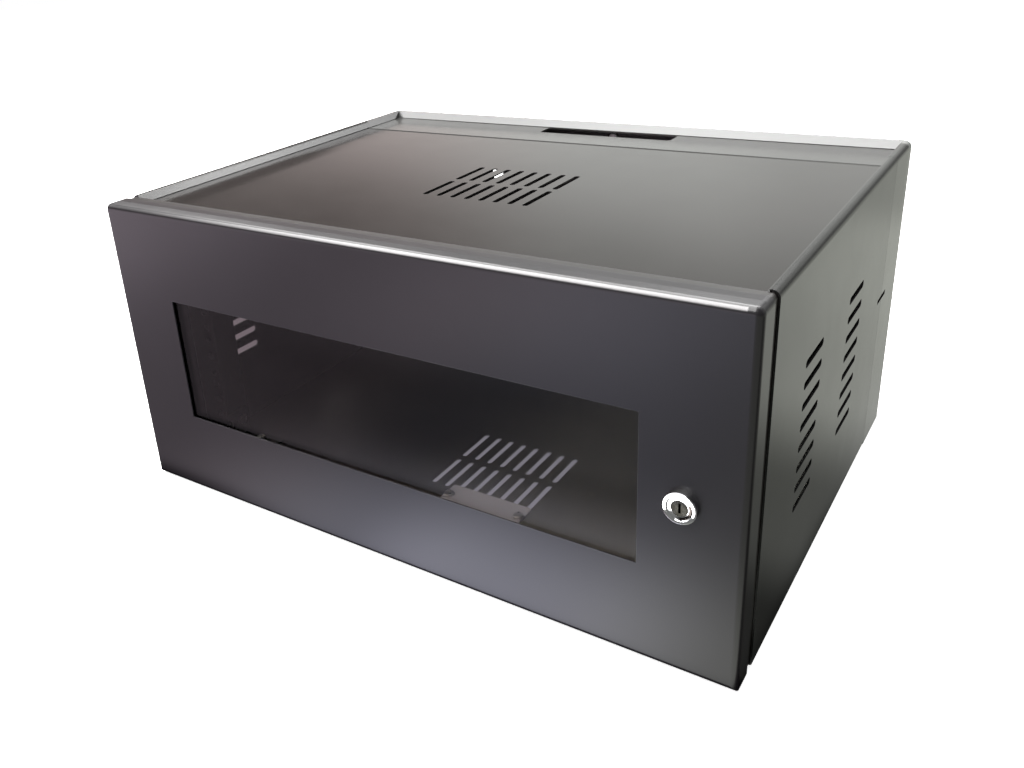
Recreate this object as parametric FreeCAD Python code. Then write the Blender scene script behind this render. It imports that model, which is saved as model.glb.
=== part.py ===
import FreeCAD, Part
import math
import os

# Wall-mount rack cabinet for standard rack-width equipment, in millimetres.
# X runs to the right as seen from the door, Y runs from the door to the wall, Z is up.
# The origin is the middle of the overall width and depth, at the level the cabinet stands on.

V = FreeCAD.Vector

# Rack equipment sizes
rack_opening = 450.0            # clear width between the two rails
rail_hole_inset = 7.55          # hole centre line outside the clear opening
rack_units = 4                  # height units the bay takes
unit_height = 44.45
unit_hole_heights = (6.35, 22.225, 38.1)    # hole centres above the foot of each unit
rail_hole_radius = 3.5

# Shell
side_room = 20.0                # from the rail's web to the outside of the cabinet
bay_margin = 43.6               # above and below the equipment bay
shell_depth = 321.5             # side panels, from the front groove to the rear seam
rear_depth = 66.0               # rear section, from the seam to the wall
rear_corner = 8.0               # outer radius of its upright corners
sheet = 1.2                     # thickness of the folded steel
bend_radius = 1.4               # centre line radius of ordinary folds
rim_fold = 1.0                  # centre line radius of the folds inside the rim
rim_width = 7.5                 # raised rim round the roof, outside to inside
rim_bend = 5.0                  # outer radius along the rim's outer edge
roof_recess = 8.0               # roof plate below the rim
landing = 12.0                  # flange that carries the edge of the roof plate
foot_fold = 15.0                # side panel's fold under the base
seam_gap = 0.3                  # air between butting sheets
roof_seam_gap = 1.0             # air between the roof plate and the rear section
tongue_drop = 18.0              # side tongues of the rear section end this far under the roof
cut_past = 1.0                  # cutters run past the piece they cut

# Door
door_depth = 20.5               # the tray's return flange
door_bend = 4.5                 # outer radius of the door's bends
door_lip = 8.0                  # inward lip at the back of the flange
door_floor_gap = 1.5            # the door's lower edge above the floor
groove = 10.0                   # recessed band between door and side panels
window_left = 65.0              # margins of door skin round the window
window_right = 69.0
window_bottom = 77.0
window_top = 78.0
glass_thickness = 4.0
glass_overlap = 10.0            # glass behind the skin, past the window's edge
gasket_thickness = 1.0
gasket_width = 7.0

# Front frame
frame_face_gap = 1.5            # from the door's lip to the frame's face
frame_side_face = 26.5          # width of the upright faces
frame_level_face = 22.0         # width of the top and bottom faces
frame_skirt = 13.5              # skirt that reaches in under the side panels
frame_clearance = 0.3           # from the skirt to the panels around it
frame_return = 8.0              # stiffening return on the top and bottom faces

# Vents
roof_vent_from_shell = 163.0    # centre of the roof vent behind the shell's front edge
base_vent_from_shell = 127.0
base_vent_offset = 14.0         # its centre to the right of the middle
vent_slots = 8
vent_pitch = 13.5
vent_slot_width = 5.0
vent_slot_length = 44.0
vent_bridge = 6.0               # metal between the two rows
side_vent_front = 95.0          # centre of the front group behind the shell's front edge
side_vent_spacing = 118.0       # from the front group to the rear one
side_vent_slots = 8
side_vent_pitch = 15.7
side_slot_length = 44.0
side_slot_height = 6.0

# Cable entries
cable_slot_length = 140.0
cable_slot_width = 22.0
cable_slot_wall = 1.0           # from the slot to the foot of the rear rim
cable_slot_corner = 4.0
entry_length = 60.0             # knock-out in the base, under a cover plate
entry_width = 18.0
entry_end_cover = 9.0           # cover plate past the knock-out's ends
entry_side_cover = 6.5          # and past its long sides
entry_from_shell = 68.5         # centre of the knock-out behind the shell's front edge
entry_offset = 26.0             # to the right of the middle
entry_plate_corner = 2.0

# Release slot that crosses the seam in each side
seam_slot_length = 30.0
seam_slot_height = 4.0
seam_slot_z = 144.0

# Rails and their brackets
rail_thickness = 2.0
rail_flange = 30.0              # width of the face that the equipment bolts to
rail_setback = 29.0             # rail's face behind the front frame's face
rail_web_depth = 50.0
rail_bend = 2.0                 # centre line radius
rail_end_gap = 5.0              # from the rail's ends to the base and the roof
bracket_thickness = 2.0
bracket_foot = 48.0
bracket_leg = 30.0
bracket_width = 34.0
bracket_from_rail = 14.0
bracket_screw_spacing = 18.0
leg_screw_share = 0.6           # height of the leg screws, as a share of the leg
screw_radius = 2.5              # shank of an M5 screw
screw_head_radius = 4.6
screw_head_height = 2.4
screw_head_rounding = 1.2
screw_clearance = 0.05
stud_nut_across = 8.0
stud_nut_thickness = 4.0
stud_end = 1.5                  # stud past its nut

# Hinges
hinge_x = 5.0                   # pin axis from the door's left edge
hinge_y = 7.0                   # pin axis behind the door's face
hinge_z = 14.0                  # frame tab from the door's top and bottom edges
hinge_tab = 3.0                 # thickness of the frame tab and of the door lug
hinge_eye = 3.6                 # outer radius of the eyes
pin_radius = 2.0
pin_clearance = 0.05
pin_head_radius = 3.2
pin_head_height = 1.4
pin_end = 1.5                   # pin past the lug
pin_chamfer = 0.5
washer_thickness = 0.5
washer_gap = 0.1                # running gap between washer and lug
washer_radius = 3.4
tab_left = 1.5                  # tab's edges beside the pin axis
tab_right = 5.0
tab_foot_height = 10.0
tab_foot_width = 18.0
tab_foot_thickness = 2.0
tab_slot_gap = 0.3
notch_gap = 2.0                 # door flange cut clear of the tab
lug_width = 16.0
lug_foot_height = 14.0
lug_foot_thickness = 2.0

# Lock
lock_inset = 40.5               # axis from the door's right edge
lock_z = 130.0
lock_face_radius = 11.0
lock_face_height = 4.6
lock_rim = 1.2                  # rounding of the face's rim
barrel_radius = 8.0
plug_radius = 5.6
plug_clearance = 0.05
lock_dish = 1.0                 # dish round the plug
lock_dish_land = 1.9            # flat floor of the dish
plug_recess = 0.2               # plug's face below the dish
keyway_width = 1.6
keyway_height = 7.0
keyway_depth = 6.0
nut_across = 22.0
nut_thickness = 4.0
lock_washer_radius = 12.5
lock_washer_thickness = 1.0
cam_gap = 1.0                   # cam behind the frame's face when locked
cam_thickness = 2.0
cam_length = 30.0               # axis to tip
cam_half_width = 6.5
cam_square = 5.0
square_clearance = 0.1
cam_screw_radius = 4.0
cam_screw_height = 2.2
cam_screw_shank = 1.5
cam_screw_depth = 6.0           # tapping below the plug's end
cam_screw_end = 1.0             # tapping left free

# Glass clips
clip_count = 3                  # along the top and along the bottom of the glass
clip_length = 18.0
clip_reach = 5.0                # over the glass
clip_foot = 11.0
clip_edge_gap = 1.2
clip_stud_radius = 2.0
clip_stud_length = 7.0
clip_nut_across = 7.0
clip_nut_thickness = 3.2

# Rear panel and wall fixing
rear_flange = 20.0              # inward flange at the back of the rear section
rear_panel_overlap = 10.0
rear_panel_thickness = 1.5
wall_hole_radius = 4.25
wall_hole_side = 75.0           # wall fixing holes from the cabinet's sides
wall_hole_low = 52.0            # and from its top and bottom
keyhole_head_radius = 7.0
keyhole_neck_radius = 3.5
keyhole_drop = 13.0
keyhole_inward = 60.0           # keyholes inside the round holes

# Small pieces
buffer_radius = 3.0
buffer_gap = 0.3
buffer_corner = 30.0
buffer_inset = 5.0
earth_radius = 3.0
earth_height = 16.0
earth_nut_across = 10.0
earth_nut_thickness = 5.0
earth_from_side = 70.0
earth_from_seam = 40.0

# Derived sizes
width = rack_opening + 2 * (rail_flange + side_room)
height = rack_units * unit_height + 2 * bay_margin
depth = door_depth + groove + shell_depth + rear_depth

left = -width / 2
right = width / 2
front = (lock_face_height - depth) / 2
back = front + depth
shell_front = front + door_depth + groove
seam = shell_front + shell_depth
frame_face = front + door_depth + frame_face_gap
frame_outset = sheet + frame_clearance
frame_left = left + frame_outset
frame_top = height - frame_outset
frame_bottom = 2 * sheet
roof_top = height - roof_recess
roof_foot = rim_width + seam_gap
landing_top = roof_top - sheet
base_top = 2 * sheet
rail_front = frame_face + rail_setback
entry_plate_length = entry_length + 2 * entry_end_cover
entry_plate_width = entry_width + 2 * entry_side_cover
entry_screw_spacing = entry_length + entry_end_cover
hinge_axis_x = left + hinge_x
hinge_axis_y = front + hinge_y
lock_x = right - lock_inset
window_x0 = left + window_left
window_x1 = right - window_right
window_z0 = window_bottom
window_z1 = height - window_top


def box(x0, x1, y0, y1, z0, z1):
    return Part.makeBox(x1 - x0, y1 - y0, z1 - z0, V(x0, y0, z0))


def rod(x, y, z, radius, length, axis):
    return Part.makeCylinder(radius, length, V(x, y, z), axis)


def along_y(x, z, y0, y1, radius):
    return rod(x, y0, z, radius, y1 - y0, V(0, 1, 0))


def along_z(x, y, z0, z1, radius):
    return rod(x, y, z0, radius, z1 - z0, V(0, 0, 1))


def hexagon(x, y, z, across, thickness, axis):
    """Hexagonal prism with its first face's centre at x, y, z."""
    corner = across / math.sqrt(3)
    ring = []
    for k in range(6):
        a = corner * math.cos(math.radians(60 * k))
        b = corner * math.sin(math.radians(60 * k))
        ring.append(V(x + a, y, z + b) if axis == "y" else V(x + a, y + b, z))
    run = V(0, thickness, 0) if axis == "y" else V(0, 0, thickness)
    return Part.Face(Part.makePolygon(ring + ring[:1])).extrude(run)


def join(shapes):
    whole = shapes[0]
    if len(shapes) > 1:
        whole = whole.fuse(shapes[1:])
    return whole.removeSplitter()


def cut(shape, tools):
    return shape.cut(tools).removeSplitter() if tools else shape


def group(solids):
    return Part.makeCompound(solids)


def mirrored(shape):
    return shape.mirror(V(0, 0, 0), V(1, 0, 0))


def obround(length, wide, thick):
    """Slot cutter along X, centred on the origin in X and Y, from z = 0 up."""
    radius = wide / 2
    half = length / 2 - radius
    middle = box(-half, half, -radius, radius, 0, thick)
    return join([middle, along_z(-half, 0, 0, thick, radius), along_z(half, 0, 0, thick, radius)])


def folded_section(points, thickness, radii, place):
    """Face of a folded strip. The points are the strip's centre line in two coordinates,
    radii are the centre line's bend radii, or one for all, and place turns a pair into a vector."""
    if isinstance(radii, float):
        radii = [radii] * (len(points) - 2)
    half = thickness / 2
    runs = []
    for a, b in zip(points, points[1:]):
        length = math.hypot(b[0] - a[0], b[1] - a[1])
        runs.append(((b[0] - a[0]) / length, (b[1] - a[1]) / length))

    def side(sign):
        shift = sign * half
        edges = []
        here = (points[0][0] - runs[0][1] * shift, points[0][1] + runs[0][0] * shift)
        for corner, u, w, radius in zip(points[1:], runs, runs[1:], radii):
            turn = math.atan2(u[0] * w[1] - u[1] * w[0], u[0] * w[0] + u[1] * w[1])
            reach = radius * math.tan(abs(turn) / 2)
            start = (corner[0] - u[0] * reach - u[1] * shift, corner[1] - u[1] * reach + u[0] * shift)
            end = (corner[0] + w[0] * reach - w[1] * shift, corner[1] + w[1] * reach + w[0] * shift)
            bow = ((w[0] - u[0]), (w[1] - u[1]))
            size = math.hypot(*bow)
            bow = (bow[0] / size, bow[1] / size)
            centre = [corner[k] + bow[k] * radius / math.cos(turn / 2) for k in (0, 1)]
            arc_radius = radius - math.copysign(1, turn) * shift
            middle = (centre[0] - bow[0] * arc_radius, centre[1] - bow[1] * arc_radius)
            edges.append(Part.LineSegment(place(*here), place(*start)).toShape())
            edges.append(Part.Arc(place(*start), place(*middle), place(*end)).toShape())
            here = end
        last = (points[-1][0] - runs[-1][1] * shift, points[-1][1] + runs[-1][0] * shift)
        edges.append(Part.LineSegment(place(*here), place(*last)).toShape())
        return edges

    one, other = side(1), side(-1)
    ends = [(one[k].Vertexes[k].Point, other[k].Vertexes[k].Point) for k in (0, -1)]
    caps = [Part.LineSegment(a, b).toShape() for a, b in ends]
    return Part.Face(Part.Wire(Part.__sortEdges__(one + other + caps)))


def screw(point, length, toward):
    """Pan-head screw: its head's seat is at the point and its shank runs toward the direction."""
    x, y, z = point
    shank = rod(x, y, z, screw_radius, length, toward)
    head = rod(x, y, z, screw_head_radius, screw_head_height, toward * -1)
    top = V(x, y, z) - toward * screw_head_height
    rim = [edge for edge in head.Edges if (edge.CenterOfMass - top).Length < 0.01 and len(edge.Vertexes) == 1]
    return join([shank, head.makeFillet(screw_head_rounding, rim)])


def slot(x, y, z, length, wide, thick, along, through):
    """Obround cutter centred on x, y, z that runs along one axis and goes through another."""
    tool = obround(length, wide, thick)
    tool.translate(V(0, 0, -thick / 2))
    if (along, through) == ("y", "z"):
        tool.rotate(V(0, 0, 0), V(0, 0, 1), 90)
    if (along, through) == ("y", "x"):
        tool.rotate(V(0, 0, 0), V(1, 1, 1), 120)
    tool.translate(V(x, y, z))
    return tool


def centred(count, pitch):
    return [(k - (count - 1) / 2) * pitch for k in range(count)]


def in_xz(y):
    return lambda a, b: V(a, y, b)


def in_yz(x):
    return lambda a, b: V(x, a, b)


def in_xy(z):
    return lambda a, b: V(a, b, z)


def vent_tools(x, y, z, thick):
    """Two rows of slots that run front to back."""
    tools = []
    for row in (-1, 1):
        row_y = y + row * (vent_slot_length + vent_bridge) / 2
        for shift in centred(vent_slots, vent_pitch):
            tools.append(slot(x + shift, row_y, z, vent_slot_length, vent_slot_width, thick, "y", "z"))
    return tools


# Bracket and screw places, shared by the brackets and by what they bolt to
rail_outer = left + side_room
rail_low = base_top + rail_end_gap
rail_high = landing_top - sheet - rail_end_gap
bracket_y = rail_front + bracket_from_rail
bracket_middle = bracket_y + bracket_width / 2
bracket_screw_ys = [bracket_middle + shift for shift in centred(2, bracket_screw_spacing)]
leg_face = rail_outer + rail_thickness + bracket_thickness
foot_screw_x = leg_face + (bracket_foot - bracket_thickness) / 2
leg_screw_height = bracket_leg * leg_screw_share
screw_hole = screw_radius + screw_clearance
mid_z = (base_top + landing_top) / 2


def left_side_panel():
    half = sheet / 2
    rim_inside = left + rim_width - half
    line = [
        (left + foot_fold, half),
        (left + half, half),
        (left + half, height - half),
        (rim_inside, height - half),
        (rim_inside, landing_top - half),
        (left + roof_foot + sheet + landing, landing_top - half),
    ]
    bends = [bend_radius, rim_bend - half, rim_fold, rim_fold]
    face = folded_section(line, sheet, bends, in_xz(shell_front))
    panel = face.extrude(V(0, shell_depth - seam_gap, 0))
    tools = []
    for group_y in (shell_front + side_vent_front, shell_front + side_vent_front + side_vent_spacing):
        for shift in centred(side_vent_slots, side_vent_pitch):
            z = height / 2 + shift
            tools.append(slot(left, group_y, z, side_slot_length, side_slot_height, 4 * sheet, "y", "x"))
    tools.append(seam_slot_tool())
    return cut(panel, tools)


def seam_slot_tool():
    reach = seam_slot_length / 2
    low = seam_slot_z - seam_slot_height / 2
    return box(left - sheet, left + 3 * sheet, seam - reach, seam + reach, low, low + seam_slot_height)


def roof_panel():
    reach = right - roof_foot - rim_fold
    plate = box(-reach, reach, shell_front + seam_gap, seam - roof_seam_gap, landing_top, roof_top)
    middle = (landing_top + roof_top) / 2
    plate = cut(plate, vent_tools(0, shell_front + roof_vent_from_shell, middle, 4 * sheet))
    stud_length = bracket_thickness + stud_nut_thickness + stud_end
    studs = []
    for side in (-1, 1):
        for y in bracket_screw_ys:
            x = side * foot_screw_x
            studs.append(along_z(x, y, landing_top - stud_length, landing_top, screw_radius))
    return join([plate] + studs)


def base_panel():
    reach = right - sheet - bend_radius
    plate = box(-reach, reach, shell_front + seam_gap, seam - seam_gap, sheet, base_top)
    middle = (sheet + base_top) / 2
    tools = vent_tools(base_vent_offset, shell_front + base_vent_from_shell, middle, 4 * sheet)
    tools.append(slot(entry_offset, entry_y, middle, entry_length, entry_width, 4 * sheet, "x", "z"))
    for shift in centred(2, entry_screw_spacing):
        tools.append(along_z(entry_offset + shift, entry_y, 0, 2 * base_top, screw_hole))
    for side in (-1, 1):
        for y in bracket_screw_ys:
            tools.append(along_z(side * foot_screw_x, y, 0, 2 * base_top, screw_hole))
    tools.append(along_z(earth_x, earth_y, 0, 2 * base_top, earth_radius))
    return cut(plate, tools)


entry_y = shell_front + entry_from_shell
earth_x = right - earth_from_side
earth_y = seam - earth_from_seam


def corner_cutter(offset, y1):
    """What lies outside the rounded upper left corner, with the corner's centre on the rim's."""
    x, z = left + rim_bend, height - rim_bend
    block = box(left - cut_past, x, front - cut_past, y1 + cut_past, z, height + cut_past)
    return block.cut(along_y(x, z, front - 2 * cut_past, y1 + 2 * cut_past, rim_bend - offset))


def corner_fold(offset, y0, y1):
    """Quarter tube that joins two sheets round the upper left corner."""
    x, z = left + rim_bend, height - rim_bend
    ring = along_y(x, z, y0, y1, rim_bend - offset)
    ring = ring.cut(along_y(x, z, y0 - cut_past, y1 + cut_past, rim_bend - offset - sheet))
    return ring.common(box(left, x, y0 - cut_past, y1 + cut_past, z, height))


def front_frame():
    half = sheet / 2
    upright_line = [
        (frame_left + frame_side_face, frame_face + half),
        (frame_left + half, frame_face + half),
        (frame_left + half, shell_front + frame_skirt),
    ]
    upright = folded_section(upright_line, sheet, bend_radius, in_xy(frame_bottom))
    upright = upright.extrude(V(0, 0, frame_top - frame_bottom))
    top_inner = frame_top - frame_level_face + half
    top_line = [
        (frame_face + frame_return, top_inner),
        (frame_face + half, top_inner),
        (frame_face + half, frame_top - half),
        (shell_front - half, frame_top - half),
    ]
    across = V(-2 * frame_left, 0, 0)
    top = folded_section(top_line, sheet, bend_radius, in_yz(frame_left)).extrude(across)
    low = landing_top - sheet
    drop = box(frame_left, -frame_left, shell_front - sheet, shell_front, low, frame_top - half)
    reach = right - roof_foot - sheet - landing - seam_gap
    carrier = box(-reach, reach, shell_front - half, shell_front + landing, low, landing_top)
    bottom_inner = frame_bottom + frame_level_face - half
    bottom_line = [
        (frame_face + frame_return, bottom_inner),
        (frame_face + half, bottom_inner),
        (frame_face + half, frame_bottom + half),
        (shell_front + frame_skirt, frame_bottom + half),
    ]
    bottom = folded_section(bottom_line, sheet, bend_radius, in_yz(frame_left)).extrude(across)
    ring = join([upright, mirrored(upright), top, drop, carrier, bottom])
    corner_end = shell_front + frame_skirt
    cutter = corner_cutter(frame_outset, corner_end)
    ring = ring.cut([cutter, mirrored(cutter)])
    fold = corner_fold(frame_outset, frame_face, corner_end)
    ring = join([ring, fold, mirrored(fold)])
    x0 = hinge_axis_x - tab_left - tab_slot_gap
    x1 = hinge_axis_x + tab_right + tab_slot_gap
    y0, y1 = frame_face - sheet, frame_face + 2 * sheet
    tools = []
    for tab_z in (lower_tab_z, upper_tab_z):
        tools.append(box(x0, x1, y0, y1, tab_z - tab_slot_gap, tab_z + hinge_tab + tab_slot_gap))
    return cut(ring, tools)


lower_tab_z = door_floor_gap + hinge_z
upper_tab_z = height - hinge_z - hinge_tab


def recess_tool(offset):
    """Cutter for the sunk roof, open to the front."""
    side = right - rim_width + offset
    return box(-side, side, seam - landing, back - rim_width + offset,
               height - roof_recess - offset, height + sheet)


def at_top(edge):
    return edge.BoundBox.ZLength < 0.01 and edge.BoundBox.ZMax > height - sheet - 0.01


def rim_edges(shape):
    """Edges along the outer side of the rear rim's top."""
    limit_x, limit_y = right - rim_bend, back - rim_bend
    edges = []
    for edge in shape.Edges:
        middle = edge.CenterOfMass
        if at_top(edge) and (abs(middle.x) > limit_x or middle.y > limit_y):
            edges.append(edge)
    return edges


def rear_frame():
    outer = box(left, right, seam, back, 0, height)
    corners = [edge for edge in outer.Edges if upright_at(edge, back)]
    outer = outer.makeFillet(rear_corner, corners)
    outer = outer.makeFillet(rim_bend, rim_edges(outer)).cut(recess_tool(0))
    inner = box(left + sheet, right - sheet, seam - sheet, back - sheet, sheet, height - sheet)
    inner_corners = [edge for edge in inner.Edges if upright_at(edge, back - sheet)]
    inner = inner.makeFillet(rear_corner - sheet, inner_corners)
    inner = inner.makeFillet(rim_bend - sheet, rim_edges(inner)).cut(recess_tool(sheet))
    ring = outer.cut(inner)
    reach = right - rear_flange
    ring = ring.cut(box(-reach, reach, back - 2 * sheet, back + sheet, rear_flange, height - rear_flange))
    y0, y1 = seam - landing, seam + 2 * sheet
    reach = right - roof_foot - sheet - landing - seam_gap
    roof_tongue = box(-reach, reach, y0, y1, landing_top - sheet, landing_top)
    reach = right - foot_fold - seam_gap
    base_tongue = box(-reach, reach, y0, y1, 0, sheet)
    side_top = landing_top - tongue_drop
    side_tongue = box(left + sheet, left + 2 * sheet, y0, y1, base_top + sheet, side_top)
    ring = join([ring, roof_tongue, base_tongue, side_tongue, mirrored(side_tongue)])
    middle = cable_slot_length / 2
    slot_back = back - roof_foot - cable_slot_wall
    cable = box(-middle, middle, slot_back - cable_slot_width, slot_back, -sheet, height)
    tools = [cable.makeFillet(cable_slot_corner, [edge for edge in cable.Edges if upright(edge)])]
    tools += [seam_slot_tool(), mirrored(seam_slot_tool())]
    for x, z in rear_screw_places:
        tools.append(along_y(x, z, back - 2 * sheet, back + sheet, screw_hole))
    return cut(ring, tools)


def upright(edge):
    return edge.BoundBox.ZLength > 1 and edge.BoundBox.XLength < 0.01 and edge.BoundBox.YLength < 0.01


def upright_at(edge, y):
    return upright(edge) and abs(edge.BoundBox.YMin - y) < 0.01


rear_screw_x = right - rear_flange + rear_panel_overlap / 2
rear_screw_low = rear_flange - rear_panel_overlap / 2
rear_screw_places = [(side * rear_screw_x, z) for side in (-1, 1)
                     for z in (rear_screw_low, height / 2, height - rear_screw_low)]
rear_screw_places += [(0, rear_screw_low), (0, height - rear_screw_low)]
rear_panel_back = back - sheet
rear_panel_front = rear_panel_back - rear_panel_thickness
wall_x = right - wall_hole_side


def rear_panel():
    reach = right - rear_flange + rear_panel_overlap
    low = rear_flange - rear_panel_overlap
    plate = box(-reach, reach, rear_panel_front, rear_panel_back, low, height - low)
    y0, y1 = rear_panel_front - sheet, rear_panel_back + sheet
    tools = [along_y(x, z, y0, y1, screw_hole) for x, z in rear_screw_places]
    for side in (-1, 1):
        for z in (wall_hole_low, height - wall_hole_low):
            tools.append(along_y(side * wall_x, z, y0, y1, wall_hole_radius))
        x = side * (wall_x - keyhole_inward)
        neck = height - wall_hole_low
        tools.append(along_y(x, neck, y0, y1, keyhole_neck_radius))
        tools.append(box(x - keyhole_neck_radius, x + keyhole_neck_radius, y0, y1, neck - keyhole_drop, neck))
        tools.append(along_y(x, neck - keyhole_drop, y0, y1, keyhole_head_radius))
    return cut(plate, tools)


def rear_panel_screws():
    length = rear_panel_thickness + sheet
    return group([screw((x, rear_panel_front, z), length, V(0, 1, 0)) for x, z in rear_screw_places])


def left_rail():
    half = rail_thickness / 2
    line = [
        (-rack_opening / 2, rail_front + half),
        (rail_outer + half, rail_front + half),
        (rail_outer + half, rail_front + rail_web_depth),
    ]
    section = folded_section(line, rail_thickness, rail_bend, in_xy(rail_low))
    rail = section.extrude(V(0, 0, rail_high - rail_low))
    hole_x = -rack_opening / 2 - rail_hole_inset
    y0, y1 = rail_front - rail_thickness, rail_front + 2 * rail_thickness
    tools = []
    for unit in range(rack_units):
        for step in unit_hole_heights:
            tools.append(along_y(hole_x, bay_margin + unit * unit_height + step, y0, y1, rail_hole_radius))
    for z in leg_screw_zs:
        for y in bracket_screw_ys:
            tools.append(rod(rail_outer - rail_thickness, y, z, screw_hole, 3 * rail_thickness, V(1, 0, 0)))
    return cut(rail, tools)


leg_screw_zs = (base_top + leg_screw_height, landing_top - leg_screw_height)


def left_lower_bracket():
    half = bracket_thickness / 2
    line = [
        (leg_face - half, base_top + bracket_leg),
        (leg_face - half, base_top + half),
        (leg_face - bracket_thickness + bracket_foot, base_top + half),
    ]
    bracket = folded_section(line, bracket_thickness, rail_bend, in_xz(bracket_y))
    bracket = bracket.extrude(V(0, bracket_width, 0))
    tools = []
    for y in bracket_screw_ys:
        tools.append(along_z(foot_screw_x, y, 0, 2 * base_top, screw_hole))
        tools.append(rod(leg_face - 2 * bracket_thickness, y, leg_screw_zs[0], screw_hole,
                         3 * bracket_thickness, V(1, 0, 0)))
    return cut(bracket, tools)


def left_upper_bracket():
    return left_lower_bracket().mirror(V(0, 0, mid_z), V(0, 0, 1))


def bracket_screws():
    screws = []
    for y in bracket_screw_ys:
        foot = screw((foot_screw_x, y, base_top + bracket_thickness), bracket_thickness + sheet, V(0, 0, -1))
        screws += [foot, mirrored(foot)]
        for z in leg_screw_zs:
            leg = screw((leg_face, y, z), bracket_thickness + rail_thickness, V(-1, 0, 0))
            screws += [leg, mirrored(leg)]
    return group(screws)


def bracket_nuts():
    nuts = []
    low = landing_top - bracket_thickness - stud_nut_thickness
    for side in (-1, 1):
        for y in bracket_screw_ys:
            nut = hexagon(side * foot_screw_x, y, low, stud_nut_across, stud_nut_thickness, "z")
            nuts.append(nut.cut(along_z(side * foot_screw_x, y, 0, height, screw_hole)))
    return group(nuts)


def entry_plate():
    plate = box(entry_offset - entry_plate_length / 2, entry_offset + entry_plate_length / 2,
                entry_y - entry_plate_width / 2, entry_y + entry_plate_width / 2, base_top, base_top + sheet)
    corners = [edge for edge in plate.Edges if edge.BoundBox.ZLength > sheet / 2]
    plate = plate.makeFillet(entry_plate_corner, corners)
    tools = [along_z(entry_offset + shift, entry_y, 0, 2 * base_top, screw_hole)
             for shift in centred(2, entry_screw_spacing)]
    return cut(plate, tools)


def entry_screws():
    return group([screw((entry_offset + shift, entry_y, base_top + sheet), 2 * sheet, V(0, 0, -1))
                  for shift in centred(2, entry_screw_spacing)])


def earth_stud():
    return along_z(earth_x, earth_y, sheet, base_top + earth_height, earth_radius)


def earth_nut():
    nut = hexagon(earth_x, earth_y, base_top, earth_nut_across, earth_nut_thickness, "z")
    return nut.cut(along_z(earth_x, earth_y, 0, base_top + earth_height, earth_radius + screw_clearance))


def lower_hinge_bracket():
    back_face = frame_face + sheet
    tab = box(hinge_axis_x - tab_left, hinge_axis_x + tab_right, hinge_axis_y, back_face + tab_foot_thickness,
              lower_tab_z, lower_tab_z + hinge_tab)
    eye = along_z(hinge_axis_x, hinge_axis_y, lower_tab_z, lower_tab_z + hinge_tab, hinge_eye)
    foot_low = lower_tab_z + (hinge_tab - tab_foot_height) / 2
    foot_x = hinge_axis_x - tab_left
    foot = box(foot_x, foot_x + tab_foot_width, back_face, back_face + tab_foot_thickness,
               foot_low, foot_low + tab_foot_height)
    hole = along_z(hinge_axis_x, hinge_axis_y, 0, height, pin_radius + pin_clearance)
    return cut(join([tab, eye, foot]), [hole])


def to_upper(shape):
    """Mirror a lower hinge piece to the upper hinge."""
    middle = (lower_tab_z + upper_tab_z + hinge_tab) / 2
    return shape.mirror(V(0, 0, middle), V(0, 0, 1))


lug_low = lower_tab_z + hinge_tab + washer_thickness + washer_gap


def lower_hinge_pin():
    top = lug_low + hinge_tab + pin_end
    shank = along_z(hinge_axis_x, hinge_axis_y, lower_tab_z - pin_head_height, top, pin_radius)
    tip = [edge for edge in shank.Edges if len(edge.Vertexes) == 1 and abs(edge.CenterOfMass.z - top) < 0.01]
    head = along_z(hinge_axis_x, hinge_axis_y, lower_tab_z - pin_head_height, lower_tab_z, pin_head_radius)
    return join([shank.makeChamfer(pin_chamfer, tip), head])


def lower_hinge_washer():
    low = lower_tab_z + hinge_tab
    ring = along_z(hinge_axis_x, hinge_axis_y, low, low + washer_thickness, washer_radius)
    return ring.cut(along_z(hinge_axis_x, hinge_axis_y, 0, height, pin_radius + pin_clearance))


def lower_door_lug():
    skin = front + sheet
    x0, x1 = hinge_axis_x, hinge_axis_x + lug_width
    arm = box(x0, x1, skin, hinge_axis_y + hinge_eye, lug_low, lug_low + hinge_tab)
    eye = along_z(x0, hinge_axis_y, lug_low, lug_low + hinge_tab, hinge_eye)
    foot = box(x0, x1, skin, skin + lug_foot_thickness, lug_low, lug_low + lug_foot_height)
    hole = along_z(x0, hinge_axis_y, 0, height, pin_radius + pin_clearance)
    return cut(join([arm, eye, foot]), [hole])


# Door glass, gasket and clips
glass_x0 = window_x0 - glass_overlap
glass_x1 = window_x1 + glass_overlap
glass_z0 = window_z0 - glass_overlap
glass_z1 = window_z1 + glass_overlap
gasket_y = front + sheet
glass_y = gasket_y + gasket_thickness
glass_back = glass_y + glass_thickness
clip_out = clip_edge_gap + sheet + clip_foot / 2
clip_spacing = (window_x1 - window_x0) / clip_count
clip_xs = [(window_x0 + window_x1) / 2 + shift for shift in centred(clip_count, clip_spacing)]


def top_corner(edge, z):
    """Edges that run from the door's face to its back along the top corners."""
    return edge.BoundBox.YLength > 1 and edge.BoundBox.XLength < 0.01 and edge.BoundBox.ZMin > z - 0.01


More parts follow.
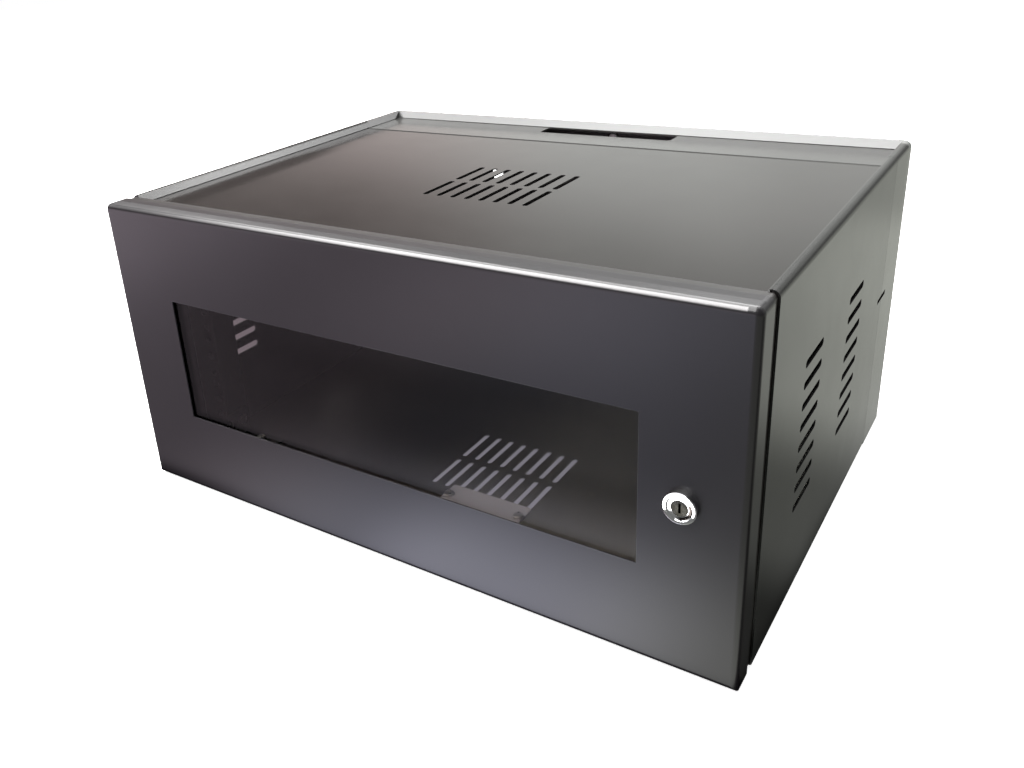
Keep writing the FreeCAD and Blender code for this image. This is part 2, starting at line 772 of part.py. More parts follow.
def door_panel():
    low = door_floor_gap
    outer = box(left, right, front, front + door_depth, low, height)
    corners = [edge for edge in outer.Edges if top_corner(edge, height)]
    outer = outer.makeFillet(rim_bend, corners)
    edges = [edge for edge in outer.Edges if edge.BoundBox.YMax < front + 0.01]
    outer = outer.makeFillet(door_bend, edges)
    tray_back = front + door_depth
    inner = box(left + sheet, right - sheet, front + sheet, tray_back - sheet, low + sheet, height - sheet)
    corners = [edge for edge in inner.Edges if top_corner(edge, height - sheet)]
    inner = inner.makeFillet(rim_bend - sheet, corners)
    edges = [edge for edge in inner.Edges if edge.BoundBox.YMax < front + sheet + 0.01]
    inner = inner.makeFillet(door_bend - sheet, edges)
    mouth = box(left + door_lip, right - door_lip, tray_back - 2 * sheet, tray_back + sheet,
                low + door_lip, height - door_lip)
    tray = outer.cut([inner, mouth])
    y0, y1 = front - sheet, front + 3 * sheet
    tools = [box(window_x0, window_x1, y0, y1, window_z0, window_z1),
             along_y(lock_x, lock_z, y0, y1, barrel_radius + screw_clearance)]
    for tab_z in (lower_tab_z, upper_tab_z):
        tools.append(box(left - sheet, left + door_lip + sheet, front + door_bend, tray_back + sheet,
                         tab_z - notch_gap, tab_z + hinge_tab + notch_gap))
    tray = tray.cut(tools)
    studs = []
    for x in clip_xs:
        for z in (glass_z0 - clip_out, glass_z1 + clip_out):
            studs.append(along_y(x, z, front + sheet, front + sheet + clip_stud_length, clip_stud_radius))
    return join([tray] + studs)


def window_glass():
    return box(glass_x0, glass_x1, glass_y, glass_back, glass_z0, glass_z1)


def glass_gasket():
    outer = box(glass_x0, glass_x1, gasket_y, glass_y, glass_z0, glass_z1)
    inner = box(glass_x0 + gasket_width, glass_x1 - gasket_width, gasket_y - cut_past, glass_y + cut_past,
                glass_z0 + gasket_width, glass_z1 - gasket_width)
    return outer.cut(inner)


def glass_clips():
    half = sheet / 2
    skin = front + sheet
    rise = clip_edge_gap + half
    clips = []
    for edge_z, out in ((glass_z1, 1), (glass_z0, -1)):
        line = [
            (skin + half, edge_z + out * (rise + half + clip_foot)),
            (skin + half, edge_z + out * rise),
            (glass_back + half, edge_z + out * rise),
            (glass_back + half, edge_z - out * clip_reach),
        ]
        for x in clip_xs:
            section = folded_section(line, sheet, bend_radius, in_yz(x - clip_length / 2))
            hole = along_y(x, edge_z + out * clip_out, skin - cut_past, skin + clip_stud_length,
                           clip_stud_radius + screw_clearance)
            clips.append(section.extrude(V(clip_length, 0, 0)).cut(hole))
    return group(clips)


def clip_nuts():
    seat = front + 2 * sheet
    nuts = []
    for x in clip_xs:
        for z in (glass_z0 - clip_out, glass_z1 + clip_out):
            nut = hexagon(x, seat, z, clip_nut_across, clip_nut_thickness, "y")
            nuts.append(nut.cut(along_y(x, z, seat - cut_past, seat + 2 * clip_nut_thickness,
                                        clip_stud_radius + screw_clearance)))
    return group(nuts)


# Lock, laid out along its axis
cam_y = frame_face + sheet + cam_gap
barrel_end = cam_y
nut_seat = front + sheet + lock_washer_thickness


def turned(profile, x, z):
    """Solid of revolution about the lock's axis from (radius, y) points."""
    ring = [V(x + radius, y, z) for radius, y in profile + profile[:1]]
    return Part.Face(Part.makePolygon(ring)).revolve(V(x, 0, z), V(0, 1, 0), 360)


def lock_housing():
    face = front - lock_face_height
    bore = plug_radius + plug_clearance
    dish = bore + lock_dish_land
    profile = [
        (bore, face + lock_dish),
        (dish, face + lock_dish),
        (dish + lock_dish, face),
        (lock_face_radius, face),
        (lock_face_radius, front),
        (barrel_radius, front),
        (barrel_radius, barrel_end),
        (bore, barrel_end),
    ]
    housing = turned(profile, lock_x, lock_z)
    rim = [edge for edge in housing.Edges
           if abs(edge.CenterOfMass.y - face) < 0.01 and edge.BoundBox.XLength > 2 * lock_face_radius - 0.1]
    return housing.makeFillet(lock_rim, rim)


def lock_washer():
    seat = front + sheet
    ring = along_y(lock_x, lock_z, seat, nut_seat, lock_washer_radius)
    y0, y1 = seat - cut_past, nut_seat + cut_past
    return ring.cut(along_y(lock_x, lock_z, y0, y1, barrel_radius + screw_clearance))


def lock_nut():
    nut = hexagon(lock_x, nut_seat, lock_z, nut_across, nut_thickness, "y")
    y0, y1 = nut_seat - cut_past, nut_seat + 2 * nut_thickness
    return nut.cut(along_y(lock_x, lock_z, y0, y1, barrel_radius + screw_clearance))


def lock_plug():
    face = front - lock_face_height + lock_dish + plug_recess
    plug = along_y(lock_x, lock_z, face, barrel_end, plug_radius)
    half = cam_square / 2
    square = box(lock_x - half, lock_x + half, barrel_end - cut_past, cam_y + cam_thickness,
                 lock_z - half, lock_z + half)
    keyway = box(lock_x - keyway_width / 2, lock_x + keyway_width / 2, face - cut_past, face + keyway_depth,
                 lock_z - keyway_height / 2, lock_z + keyway_height / 2)
    tapping = along_y(lock_x, lock_z, cam_y - cam_screw_depth, cam_y + 2 * cam_thickness,
                      cam_screw_shank + screw_clearance)
    return cut(join([plug, square]), [keyway, tapping])


def lock_cam():
    y1 = cam_y + cam_thickness
    tip_z = lock_z - cam_length + cam_half_width
    hub = along_y(lock_x, lock_z, cam_y, y1, cam_half_width)
    tip = along_y(lock_x, tip_z, cam_y, y1, cam_half_width)
    arm = box(lock_x - cam_half_width, lock_x + cam_half_width, cam_y, y1, tip_z, lock_z)
    half = cam_square / 2 + square_clearance
    hole = box(lock_x - half, lock_x + half, cam_y - cut_past, y1 + cut_past, lock_z - half, lock_z + half)
    return cut(join([hub, tip, arm]), [hole])


def cam_screw():
    seat = cam_y + cam_thickness
    shank_length = cam_thickness + cam_screw_depth - cam_screw_end
    shank = along_y(lock_x, lock_z, seat - shank_length, seat, cam_screw_shank)
    head = along_y(lock_x, lock_z, seat, seat + cam_screw_height, cam_screw_radius)
    return join([shank, head])


def door_buffers():
    y0 = frame_face - frame_face_gap + buffer_gap
    x = right - buffer_inset
    corners = (buffer_corner, height - buffer_corner)
    return group([along_y(x, z, y0, frame_face, buffer_radius) for z in corners])


def write(name, shape):
    assert shape.isValid(), name
    shape.exportStep("parts/" + name + ".step")


os.makedirs("parts", exist_ok=True)
for name, shape in (
    ("roof_panel", roof_panel()),
    ("base_panel", base_panel()),
    ("left_side_panel", left_side_panel()),
    ("right_side_panel", mirrored(left_side_panel())),
    ("front_frame", front_frame()),
    ("rear_frame", rear_frame()),
    ("rear_panel", rear_panel()),
    ("rear_panel_screws", rear_panel_screws()),
    ("left_rail", left_rail()),
    ("right_rail", mirrored(left_rail())),
    ("left_lower_bracket", left_lower_bracket()),
    ("right_lower_bracket", mirrored(left_lower_bracket())),
    ("left_upper_bracket", left_upper_bracket()),
    ("right_upper_bracket", mirrored(left_upper_bracket())),
    ("bracket_screws", bracket_screws()),
    ("bracket_nuts", bracket_nuts()),
    ("entry_plate", entry_plate()),
    ("entry_screws", entry_screws()),
    ("earth_stud", earth_stud()),
    ("earth_nut", earth_nut()),
    ("lower_hinge_bracket", lower_hinge_bracket()),
    ("upper_hinge_bracket", to_upper(lower_hinge_bracket())),
    ("lower_hinge_pin", lower_hinge_pin()),
    ("upper_hinge_pin", to_upper(lower_hinge_pin())),
    ("lower_hinge_washer", lower_hinge_washer()),
    ("upper_hinge_washer", to_upper(lower_hinge_washer())),
    ("lower_door_lug", lower_door_lug()),
    ("upper_door_lug", to_upper(lower_door_lug())),
    ("door_buffers", door_buffers()),
    ("door_panel", door_panel()),
    ("window_glass", window_glass()),
    ("glass_gasket", glass_gasket()),
    ("glass_clips", glass_clips()),
    ("clip_nuts", clip_nuts()),
    ("lock_housing", lock_housing()),
    ("lock_washer", lock_washer()),
    ("lock_nut", lock_nut()),
    ("lock_plug", lock_plug()),
    ("lock_cam", lock_cam()),
    ("cam_screw", cam_screw()),
):
    write(name, shape)
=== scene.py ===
import math

import bpy
from mathutils import Matrix, Vector


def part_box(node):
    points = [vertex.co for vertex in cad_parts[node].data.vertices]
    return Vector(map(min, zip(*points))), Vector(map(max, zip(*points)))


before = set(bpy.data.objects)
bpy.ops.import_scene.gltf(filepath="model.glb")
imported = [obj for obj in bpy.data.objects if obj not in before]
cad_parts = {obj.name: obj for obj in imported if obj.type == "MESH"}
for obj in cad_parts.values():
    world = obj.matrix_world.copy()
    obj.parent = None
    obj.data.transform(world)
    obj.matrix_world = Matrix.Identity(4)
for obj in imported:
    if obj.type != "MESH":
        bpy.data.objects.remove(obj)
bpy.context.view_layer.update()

# Places on the cabinet, in metres, read from the frame
door_low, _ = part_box("door_panel")
side_low, side_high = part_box("right_side_panel")
_, rear_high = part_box("rear_frame")
_, roof_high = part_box("roof_panel")
lock_low, lock_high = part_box("lock_housing")
LOCK = (lock_low + lock_high) / 2
FRONT = door_low[1]
SHELL_FRONT = side_low[1]
SEAM = side_high[1]
RIM_TOP = side_high[2]
ROOF_TOP = roof_high[2]
RIM_WIDTH = 0.0075
RIM_X = side_high[0] - RIM_WIDTH
RIM_Y = rear_high[1] - RIM_WIDTH

# How far the shading leans on the rim's inner walls, which run out into the roof in a soft curve
SIDE_WALL_LEAN = 2.2
REAR_WALL_LEAN = 1.2
WALL_INSIDE = 0.0004
WALL_OUTSIDE = 0.0012

# Coats: how much of the finer marks shows
DUST = 0.12
EDGE_RUB = 0.25
EDGE_RADIUS = 0.0009
PEEL_SIZE = 620
PEEL_DEPTH = 0.0004
PEEL_STRENGTH = 0.02
WAVE_SIZE = 6
WAVE_DEPTH = 0.004
WAVE_STRENGTH = 0.0025

# Camera at the photograph's viewpoint
CAMERA_PLACE = (0.40229, -0.67512, 0.46452)
CAMERA_TURN = math.radians(36.47)
CAMERA_TILT = math.radians(22.78)
CAMERA_ROLL = math.radians(-4.36)
CAMERA_LENS = 33.13
CAMERA_SENSOR = 36.0
CAMERA_SHIFT = (0.0812, -0.0636)
CAMERA_REACH = (0.01, 50.0)

# Studio floor
FLOOR_REACH = 8.0
FLOOR_Z = -0.0008


def linear(red, green, blue):
    """A display colour of 0 to 255 as the shader's linear colour."""
    def one(value):
        share = value / 255
        return share / 12.92 if share <= 0.04045 else ((share + 0.055) / 1.055) ** 2.4
    return (one(red), one(green), one(blue), 1.0)


WHITE = linear(255, 255, 255)


class Nodes:
    """A node tree with short calls for the nodes that the finishes share."""

    def __init__(self, owner, place="Object"):
        owner.use_nodes = True
        self.material = owner
        self.tree = owner.node_tree
        self.tree.nodes.clear()
        self.place = self.add("ShaderNodeTexCoord").outputs[place]

    def add(self, kind, inputs=(), **settings):
        node = self.tree.nodes.new(kind)
        for name, value in settings.items():
            setattr(node, name, value)
        for key, value in dict(inputs).items():
            self.feed(node.inputs[key], value)
        return node

    def feed(self, socket, value):
        if isinstance(value, bpy.types.NodeSocket):
            self.tree.links.new(value, socket)
        else:
            socket.default_value = value

    def math(self, operation, *values, clamp=False):
        node = self.add("ShaderNodeMath", operation=operation, use_clamp=clamp)
        for socket, value in zip(node.inputs, values):
            self.feed(socket, value)
        return node.outputs[0]

    def plus(self, first, *others, clamp=False):
        for other in others:
            first = self.math("ADD", first, other, clamp=clamp)
        return first

    def times(self, first, *others, clamp=False):
        for other in others:
            first = self.math("MULTIPLY", first, other, clamp=clamp)
        return first

    def over(self, value, limit):
        return self.math("GREATER_THAN", value, limit)

    def under(self, value, limit):
        return self.math("LESS_THAN", value, limit)

    def away(self, value, centre):
        """The distance of a value from a centre, on either side."""
        return self.math("ABSOLUTE", self.math("SUBTRACT", value, centre))

    def ramp(self, value, low, high, start=0.0, end=1.0, smooth=True):
        node = self.add("ShaderNodeMapRange", {"Value": value, "From Min": low, "From Max": high,
                                               "To Min": start, "To Max": end})
        node.interpolation_type = "SMOOTHSTEP" if smooth else "LINEAR"
        return node.outputs["Result"]

    def band(self, value, low, high, soft):
        """1 between two values and 0 outside, with soft ends."""
        return self.times(self.ramp(value, low - soft, low), self.ramp(value, high + soft, high))

    def mix(self, share, a, b):
        node = self.add("ShaderNodeMix", data_type="RGBA")
        for index, value in ((0, share), (6, a), (7, b)):
            self.feed(node.inputs[index], value)
        return node.outputs[2]

    def blend(self, share, a, b):
        """One number or another, as mix does for colours."""
        return self.add("ShaderNodeMix", {0: share, 2: a, 3: b}).outputs[0]

    def noise(self, scale, detail=2.0, stretch=None):
        place = self.place
        if stretch:
            place = self.add("ShaderNodeMapping", {"Vector": place, "Scale": stretch}).outputs[0]
        node = self.add("ShaderNodeTexNoise", {"Vector": place, "Scale": scale, "Detail": detail})
        return node.outputs["Fac"]

    def axes(self):
        return self.add("ShaderNodeSeparateXYZ", {"Vector": self.place}).outputs

    def vector(self, x=0.0, y=0.0, z=0.0):
        return self.add("ShaderNodeCombineXYZ", {0: x, 1: y, 2: z}).outputs[0]

    def bump(self, height, strength, distance, normal=None):
        inputs = {"Height": height, "Strength": strength, "Distance": distance}
        if normal is not None:
            inputs["Normal"] = normal
        return self.add("ShaderNodeBump", inputs).outputs[0]

    def leaned(self, normal, toward):
        """A normal that leans by a vector, made one long again."""
        leaning = self.add("ShaderNodeVectorMath", {0: normal, 1: toward}, operation="ADD").outputs[0]
        return self.add("ShaderNodeVectorMath", {0: leaning}, operation="NORMALIZE").outputs[0]

    def choose(self, ray, usual, special):
        """One shader for a kind of ray that the light path names, and another for the rest."""
        share = self.add("ShaderNodeLightPath").outputs[ray]
        both = self.add("ShaderNodeMixShader", {0: share, 1: usual.outputs[0], 2: special.outputs[0]})
        return both.outputs[0]

    def surface(self, inputs):
        self.show(self.add("ShaderNodeBsdfPrincipled", inputs).outputs[0])

    def show(self, socket, kind="ShaderNodeOutputMaterial"):
        self.tree.links.new(socket, self.add(kind).inputs["Surface"])


def finish(name):
    return Nodes(bpy.data.materials.new(name))


# Marks, painted highlights, painted shade and shapes of light that belong to places on the cabinet
def rubbed_edges(nodes):
    """1 along sharp edges and 0 on flat faces."""
    soft = nodes.add("ShaderNodeBevel", {"Radius": EDGE_RADIUS}, samples=6).outputs[0]
    flat = nodes.add("ShaderNodeNewGeometry").outputs["Normal"]
    match = nodes.add("ShaderNodeVectorMath", {0: soft, 1: flat}, operation="DOT_PRODUCT").outputs["Value"]
    patchy = nodes.ramp(nodes.noise(55, 3), 0.35, 0.65, 0.45, 1.0)
    return nodes.times(nodes.ramp(match, 0.995, 0.86), patchy)


def rim_wall(nodes):
    """1 on the upright walls inside the raised rim and 0 elsewhere."""
    x, y, z = nodes.axes()
    aside = nodes.math("ABSOLUTE", x)
    left_right = nodes.times(nodes.over(aside, RIM_X - WALL_INSIDE), nodes.under(aside, RIM_X + WALL_OUTSIDE))
    at_back = nodes.times(nodes.over(y, RIM_Y - WALL_INSIDE), nodes.under(y, RIM_Y + WALL_OUTSIDE))
    wall = nodes.math("MAXIMUM", left_right, at_back)
    return nodes.times(wall, nodes.over(z, ROOF_TOP + 0.0004))


def side_lean(nodes):
    return nodes.vector(z=nodes.times(rim_wall(nodes), SIDE_WALL_LEAN))


def rear_lean(nodes):
    x, _, _ = nodes.axes()
    lean = nodes.ramp(x, -0.262, -0.266, REAR_WALL_LEAN, SIDE_WALL_LEAN)
    return nodes.vector(z=nodes.times(rim_wall(nodes), lean))


def roof_lean(nodes):
    """The roof plate dips a little at its front and rear edges and beside the left rim."""
    x, y, z = nodes.axes()
    back = nodes.ramp(y, SEAM - 0.0048, SEAM - 0.0036, 0.0, 0.42)
    front = nodes.ramp(y, SHELL_FRONT + 0.0045, SHELL_FRONT + 0.0025, 0.0, 0.3)
    left = nodes.times(nodes.ramp(x, -0.22, -0.25, 0.0, 0.1), nodes.ramp(y, 0.08, -0.02))
    return nodes.vector(x=nodes.times(nodes.plus(back, front, left), nodes.over(z, ROOF_TOP - 0.0002)))


def door_lean(nodes):
    """The door's upper flange dips a little behind its front bend."""
    _, y, z = nodes.axes()
    dip = nodes.band(y, FRONT + 0.0045, FRONT + 0.0115, 0.002)
    return nodes.vector(x=nodes.times(dip, nodes.over(z, RIM_TOP - 0.0006), 0.16))


def face_lean(nodes):
    """The lock's face is polished to a shallow dome that catches the light from above."""
    _, y, z = nodes.axes()
    upward = nodes.ramp(z, LOCK[2] - 0.009, LOCK[2] + 0.003, 0.66, 1.0)
    return nodes.vector(z=nodes.times(upward, nodes.under(y, FRONT)))


def inner_painted_light(nodes):
    """Painted light: the floor plate's paint is painted lighter toward the lock side, standing in for the
    light inside the cabinet.
    """
    return nodes.ramp(nodes.axes()[0], -0.15, 0.24)


def door_bend_painted_highlight(nodes, colour):
    """Painted highlight: the top bend is painted bright, most of all toward the lock side."""
    x, y, z = nodes.axes()
    bend = nodes.times(nodes.band(y, FRONT + 0.0008, FRONT + 0.0018, 0.0006),
                       nodes.ramp(z, RIM_TOP - 0.0036, RIM_TOP - 0.0026))
    along = nodes.times(nodes.ramp(x, -0.26, 0.05, 0.1, 1.0), nodes.ramp(x, 0.2665, 0.2655))
    return nodes.mix(nodes.times(bend, along), colour, linear(150, 149, 150))


def rear_painted_highlights(nodes, colour):
    """Painted highlights and painted reflections on the rear section: the wall inside its rim, the strip
    behind the seam and the upper part of its right corner are painted lighter."""
    x, y, z = nodes.axes()
    # Painted highlight: the back wall inside the rim is painted light grey, most toward the right
    back = nodes.times(nodes.ramp(x, -0.2, 0.1, 0.55, 1.0), nodes.over(y, RIM_Y - 0.001))
    colour = nodes.mix(nodes.times(rim_wall(nodes), back, clamp=True), colour, linear(166, 167, 167))
    # Painted reflection: a lighter strip on the roof just behind the seam
    strip = nodes.times(nodes.under(z, ROOF_TOP + 0.0003), nodes.over(z, ROOF_TOP - 0.0006))
    colour = nodes.mix(strip, colour, linear(62, 62, 61))
    # Painted reflection: the upper part of the right rear corner is painted lighter
    corner = nodes.times(nodes.ramp(z, 0.15, 0.25), nodes.over(x, 0.2672), nodes.ramp(y, 0.19, 0.198))
    return nodes.mix(corner, colour, linear(112, 113, 112))


def lock_groove_painted_shade(nodes, colour):
    """Painted shade: a dark crescent round the lock's plug, from the right side to the bottom, where a groove
    lies in shade.
    """
    x, _, z = nodes.axes()
    aside = nodes.math("SUBTRACT", x, LOCK[0])
    up = nodes.math("SUBTRACT", z, LOCK[2])
    squares = nodes.plus(nodes.math("POWER", aside, 2.0), nodes.math("POWER", up, 2.0))
    ring = nodes.band(nodes.math("SQRT", squares), 0.0062, 0.0078, 0.0004)
    turn = nodes.times(nodes.ramp(aside, -0.003, 0.001), nodes.ramp(up, 0.006, 0.003))
    return nodes.mix(nodes.times(ring, turn), colour, linear(62, 58, 56))


# Finishes
def powder_coat(name, dark, light, gloss, orange_peel=1.0, painted_light=None, extra=None, lean=None):
    """Satin powder coat with fine orange peel, faint clouding, rubbed edges and settled dust.
    The lightness argument gives a value from 0 to 1 that says where the coat is painted lighter, as painted
    light; extra paints highlights and reflections into the colour; and lean gives a vector that bends the
    normal."""
    nodes = finish(name)
    cloud = nodes.ramp(nodes.noise(9, 3), 0.3, 0.7, 0.0, 1.0)
    if painted_light:
        share = nodes.plus(painted_light(nodes), nodes.ramp(cloud, 0.0, 1.0, -0.04, 0.04, smooth=False), clamp=True)
    else:
        share = nodes.times(cloud, 0.5)
    colour = nodes.mix(share, dark, light)
    speck = nodes.ramp(nodes.noise(1900, 1), 0.70, 0.78)
    sparse = nodes.ramp(nodes.noise(24, 2), 0.52, 0.72)
    colour = nodes.mix(nodes.times(speck, sparse, DUST * orange_peel), colour, linear(150, 148, 146))
    colour = nodes.mix(nodes.times(rubbed_edges(nodes), EDGE_RUB), colour, linear(128, 128, 130))
    if extra:
        colour = extra(nodes, colour)
    rough = nodes.ramp(nodes.noise(38, 4), 0.3, 0.7, gloss - 0.006, gloss + 0.008)
    peel = nodes.bump(nodes.noise(PEEL_SIZE, 2), PEEL_STRENGTH * orange_peel, PEEL_DEPTH)
    normal = nodes.bump(nodes.noise(WAVE_SIZE, 1), WAVE_STRENGTH, WAVE_DEPTH, peel)
    if lean:
        normal = nodes.leaned(normal, lean(nodes))
    nodes.surface({"Base Color": colour, "Roughness": rough, "Normal": normal,
                   "Specular IOR Level": 0.5, "IOR": 1.5})
    return nodes.material


def plated_steel(name, base, warm, rough_low, rough_high, streaks, relief=0.08, lean=None, extra=None):
    """Bright plating with drawn streaks and a faint warm cast in patches."""
    nodes = finish(name)
    drawn = nodes.noise(240, 3, stretch=streaks)
    cast = nodes.ramp(nodes.noise(90, 3), 0.4, 0.7)
    colour = nodes.mix(nodes.times(cast, 0.6), base, warm)
    colour = nodes.mix(nodes.ramp(drawn, 0.3, 0.7, 0.0, 0.25), colour, linear(120, 120, 122))
    if extra:
        colour = extra(nodes, colour)
    rough = nodes.ramp(drawn, 0.3, 0.7, rough_low, rough_high)
    normal = nodes.bump(drawn, relief, 0.0002)
    if lean:
        normal = nodes.leaned(normal, lean(nodes))
    nodes.surface({"Base Color": colour, "Metallic": 1.0, "Roughness": rough, "Normal": normal})
    return nodes.material


def glass_finish():
    """Tinted toughened glass with faint wipe marks, which lets the lamps' light through."""
    nodes = finish("tinted_glass")
    wiped = nodes.noise(26, 4, stretch=(1.0, 1.0, 3.2))
    rough = nodes.ramp(wiped, 0.35, 0.75, 0.012, 0.07)
    tint = nodes.mix(nodes.ramp(nodes.noise(5, 2), 0.3, 0.7), linear(214, 206, 206), linear(220, 214, 212))
    glass = nodes.add("ShaderNodeBsdfPrincipled", {"Base Color": tint, "Roughness": rough, "IOR": 1.24,
                                                   "Transmission Weight": 1.0})
    clear = nodes.add("ShaderNodeBsdfTransparent", {"Color": linear(205, 200, 200)})
    nodes.show(nodes.choose("Is Shadow Ray", glass, clear))
    return nodes.material


def rubber_finish():
    nodes = finish("matt_rubber")
    grain = nodes.noise(900, 3)
    bloom = nodes.ramp(nodes.noise(40, 2), 0.4, 0.8)
    colour = nodes.mix(bloom, linear(26, 26, 27), linear(52, 51, 50))
    rough = nodes.ramp(grain, 0.3, 0.7, 0.68, 0.86)
    nodes.surface({"Base Color": colour, "Roughness": rough, "Normal": nodes.bump(grain, 0.15, 0.0002)})
    return nodes.material


def nylon_finish():
    nodes = finish("natural_nylon")
    mottled = nodes.noise(300, 3)
    colour = nodes.mix(nodes.ramp(mottled, 0.35, 0.65), linear(214, 208, 190), linear(232, 228, 214))
    nodes.surface({"Base Color": colour, "Roughness": nodes.ramp(mottled, 0.3, 0.7, 0.34, 0.46),
                   "Normal": nodes.bump(mottled, 0.05, 0.0002)})
    return nodes.material


def assign(material, *names):
    for name in names:
        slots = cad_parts[name].data.materials
        if not slots:
            slots.append(material)
        for index in range(len(slots)):
            slots[index] = material


# The door's coat carries a painted highlight along its top bend
assign(powder_coat("door_coat", linear(24, 22, 25), linear(30, 28, 32), 0.3, extra=door_bend_painted_highlight,
                   lean=door_lean),
       "door_panel", "lower_door_lug", "upper_door_lug")
assign(powder_coat("roof_coat", linear(26, 23, 22), linear(32, 29, 28), 0.18, lean=roof_lean),
       "roof_panel")
# The rear frame's coat carries painted highlights and painted reflections
assign(powder_coat("rear_coat", linear(24, 23, 22), linear(30, 29, 28), 0.2, extra=rear_painted_highlights,
                   lean=rear_lean),
       "rear_frame")
assign(powder_coat("side_coat", linear(22, 22, 21), linear(28, 28, 27), 0.24, lean=side_lean),
       "left_side_panel", "right_side_panel")
# The floor plate's coat is painted lighter toward the lock side: painted light
assign(powder_coat("inner_coat", linear(30, 24, 23), linear(112, 113, 104), 0.4, orange_peel=0.05,
                   painted_light=inner_painted_light),
       "base_panel")
assign(powder_coat("frame_coat", linear(26, 24, 23), linear(32, 30, 29), 0.36),
       "front_frame", "rear_panel", "lower_hinge_bracket", "upper_hinge_bracket")
assign(powder_coat("rail_coat", linear(14, 11, 12), linear(20, 16, 17), 0.5, orange_peel=0.2),
       "left_rail", "right_rail", "left_lower_bracket", "right_lower_bracket", "left_upper_bracket",
       "right_upper_bracket")
assign(powder_coat("plate_coat", linear(176, 177, 180), linear(188, 189, 192), 0.45, orange_peel=0.2),
       "entry_plate")
assign(plated_steel("zinc_plate", linear(186, 187, 188), linear(190, 182, 160), 0.26, 0.42, (1.0, 1.0, 6.0)),
       "rear_panel_screws", "bracket_screws", "bracket_nuts", "entry_screws", "earth_stud", "earth_nut",
       "lower_hinge_pin", "upper_hinge_pin", "glass_clips", "clip_nuts", "lock_washer", "lock_nut",
       "lock_cam", "cam_screw")
# The lock housing carries painted shade in a crescent round its plug
assign(plated_steel("polished_chrome", linear(236, 237, 240), linear(232, 230, 228), 0.05, 0.1,
                    (1.0, 6.0, 1.0), lean=face_lean, extra=lock_groove_painted_shade),
       "lock_housing")
assign(plated_steel("worn_nickel", linear(96, 94, 84), linear(150, 146, 126), 0.12, 0.3,
                    (2.0, 1.0, 1.0), relief=1.0),
       "lock_plug")
assign(glass_finish(), "window_glass")
assign(rubber_finish(), "glass_gasket", "door_buffers")
assign(nylon_finish(), "lower_hinge_washer", "upper_hinge_washer")


# Studio: to the camera the floor and the surroundings are white. What the cabinet mirrors is a floor that
# is bright in front of the door, dark beside the right panel and brighter again behind, and a sky that is
# bright low down and darker above.
def floor_in_front(nodes, x, y):
    """A bright patch before the door, more light farther out and at the left, and a dim near left end."""
    middle = nodes.ramp(nodes.away(x, 0.10), 0.17, 0.06, 0.0, 0.5)
    wide = nodes.plus(nodes.ramp(x, -0.34, 0.0, 0.0, 0.5), middle)
    patch = nodes.times(wide, nodes.ramp(x, 0.46, 0.2), nodes.ramp(y, -0.38, -0.235))
    far_left = nodes.plus(nodes.ramp(x, -0.35, -1.2, 0.0, 0.55), nodes.ramp(x, -0.66, -0.90, 0.0, 0.7))
    far_out = nodes.times(nodes.ramp(nodes.away(x, -0.15), 0.40, 0.05), nodes.ramp(y, -0.45, -0.72, 0.0, 1.7))
    light = nodes.plus(nodes.math("MULTIPLY_ADD", patch, 3.2, 0.52), far_left, far_out)
    near_left = nodes.times(nodes.ramp(x, -0.08, -0.27), nodes.ramp(y, -0.228, -0.217, 0.0, -0.85))
    return nodes.times(light, nodes.plus(near_left, 1.0))


def floor_beside(nodes, x, y):
    """Dark at the front, brighter toward the back, with a contact shadow along the panel's foot."""
    light = nodes.plus(nodes.ramp(y, -0.12, -0.03, 0.05, 0.2), nodes.ramp(y, 0.05, 0.23, 0.0, 0.5))
    contact = nodes.times(nodes.ramp(x, 0.284, 0.276, 0.0, -0.5), nodes.ramp(y, 0.08, 0.0))
    light = nodes.times(light, nodes.plus(contact, 1.0))
    return nodes.plus(light, nodes.ramp(y, 0.3, 0.6, 0.0, 0.12), nodes.ramp(y, 0.75, 0.95, 0.0, -0.22))


def floor_material():
    nodes = finish("studio_floor")
    x, y, _ = nodes.axes()
    beside = floor_beside(nodes, x, y)
    under_cabinet = nodes.blend(nodes.over(x, 0.2745), 0.3, beside)
    level = nodes.blend(nodes.over(x, -0.276), 0.22, under_cabinet)
    level = nodes.times(level, nodes.over(y, -0.19))
    behind = nodes.blend(nodes.over(y, 0.212), level, beside)
    mirrored = nodes.blend(nodes.over(y, -0.2125), floor_in_front(nodes, x, y), behind)
    cast = nodes.mix(nodes.ramp(x, -0.35, 0.35), linear(255, 238, 252), linear(252, 255, 244))
    middle = nodes.ramp(nodes.away(x, 0.03), 0.30, 0.05, 0.0, 0.85)
    cast = nodes.mix(middle, cast, linear(232, 234, 255))
    seen_mirrored = nodes.add("ShaderNodeEmission", {"Color": cast, "Strength": mirrored})
    pale = nodes.mix(nodes.noise(3, 2), linear(238, 238, 238), linear(244, 244, 244))
    seen = nodes.add("ShaderNodeBsdfPrincipled", {
        "Base Color": pale, "Roughness": 0.8, "Specular IOR Level": 0.0,
        "Emission Color": WHITE, "Emission Strength": 0.8})
    nodes.show(nodes.choose("Is Camera Ray", seen_mirrored, seen))
    return nodes.material


def plain_sheet(name, reach, z, material):
    mesh = bpy.data.meshes.new(name)
    corners = [(-reach, -reach, z), (reach, -reach, z), (reach, reach, z), (-reach, reach, z)]
    mesh.from_pydata(corners, [], [(0, 1, 2, 3)])
    sheet = bpy.data.objects.new(name, mesh)
    bpy.context.scene.collection.objects.link(sheet)
    mesh.materials.append(material)
    return sheet


def soft_light(name, place, aim, wide, deep, radiance, colour):
    light = bpy.data.lights.new(name, "AREA")
    light.shape = "RECTANGLE"
    light.size, light.size_y = wide, deep
    light.energy = radiance * wide * deep * math.pi
    light.color = colour
    lamp = bpy.data.objects.new(name, light)
    bpy.context.scene.collection.objects.link(lamp)
    lamp.location = place
    lamp.rotation_euler = (Vector(aim) - Vector(place)).to_track_quat("-Z", "Y").to_euler()


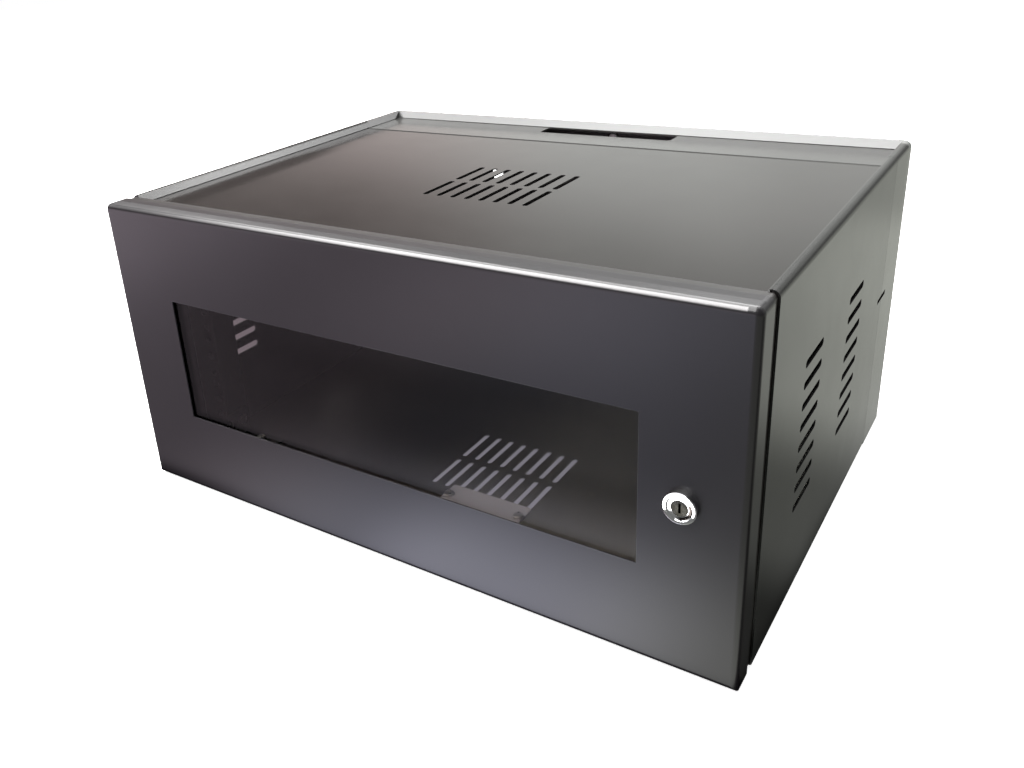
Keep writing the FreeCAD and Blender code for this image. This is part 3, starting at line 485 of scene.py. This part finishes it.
def surroundings():
    world = bpy.data.worlds.new("studio")
    bpy.context.scene.world = world
    nodes = Nodes(world, "Generated")
    x, y, z = nodes.axes()
    horizon = nodes.math("MULTIPLY_ADD", nodes.math("MINIMUM", x, -0.28), 0.36, 0.4475)
    above = nodes.ramp(nodes.math("SUBTRACT", z, horizon), -0.022, 0.02)
    low = nodes.ramp(x, -0.22, -0.32, 1.08, 1.28)
    high = nodes.ramp(x, -0.42, -0.65, 0.60, 0.12)
    glow = nodes.times(nodes.blend(above, low, high), nodes.ramp(y, -0.1, 0.4, 0.35, 1.0))
    right_low = nodes.times(nodes.ramp(x, -0.10, 0.06), nodes.ramp(z, 0.28, 0.2, 0.0, 0.75))
    glow = nodes.times(glow, nodes.math("SUBTRACT", 1.0, right_low))
    cast = nodes.mix(nodes.ramp(x, -0.42, -0.65), linear(252, 254, 250), linear(255, 240, 236))
    mirrored = nodes.add("ShaderNodeBackground", {"Color": cast, "Strength": glow})
    white = nodes.add("ShaderNodeBackground", {"Color": WHITE, "Strength": 1.0})
    nodes.show(nodes.choose("Is Camera Ray", mirrored, white), "ShaderNodeOutputWorld")


def place_camera():
    data = bpy.data.cameras.new("camera")
    data.sensor_width = CAMERA_SENSOR
    data.lens = CAMERA_LENS
    data.shift_x, data.shift_y = CAMERA_SHIFT
    data.clip_start, data.clip_end = CAMERA_REACH
    camera = bpy.data.objects.new("camera", data)
    bpy.context.scene.collection.objects.link(camera)
    turn = Matrix.Rotation(CAMERA_TURN, 4, "Z")
    tilt = Matrix.Rotation(math.pi / 2 - CAMERA_TILT, 4, "X")
    roll = Matrix.Rotation(CAMERA_ROLL, 4, "Z")
    camera.matrix_world = Matrix.Translation(CAMERA_PLACE) @ turn @ tilt @ roll
    bpy.context.scene.camera = camera


floor = plain_sheet("floor", FLOOR_REACH, FLOOR_Z, floor_material())
soft_light("overhead", (-1.0, -0.3, 2.1), (-1.0, -0.3, 0.0), 2.2, 4.0, 9.0, (1.0, 0.99, 0.98))
soft_light("rear_overhead", (0.3, 1.6, 2.0), (0.0, 0.1, 0.0), 1.2, 1.0, 9.0, (1.0, 1.0, 1.0))
surroundings()
place_camera()
bpy.context.scene.view_settings.view_transform = "Standard"
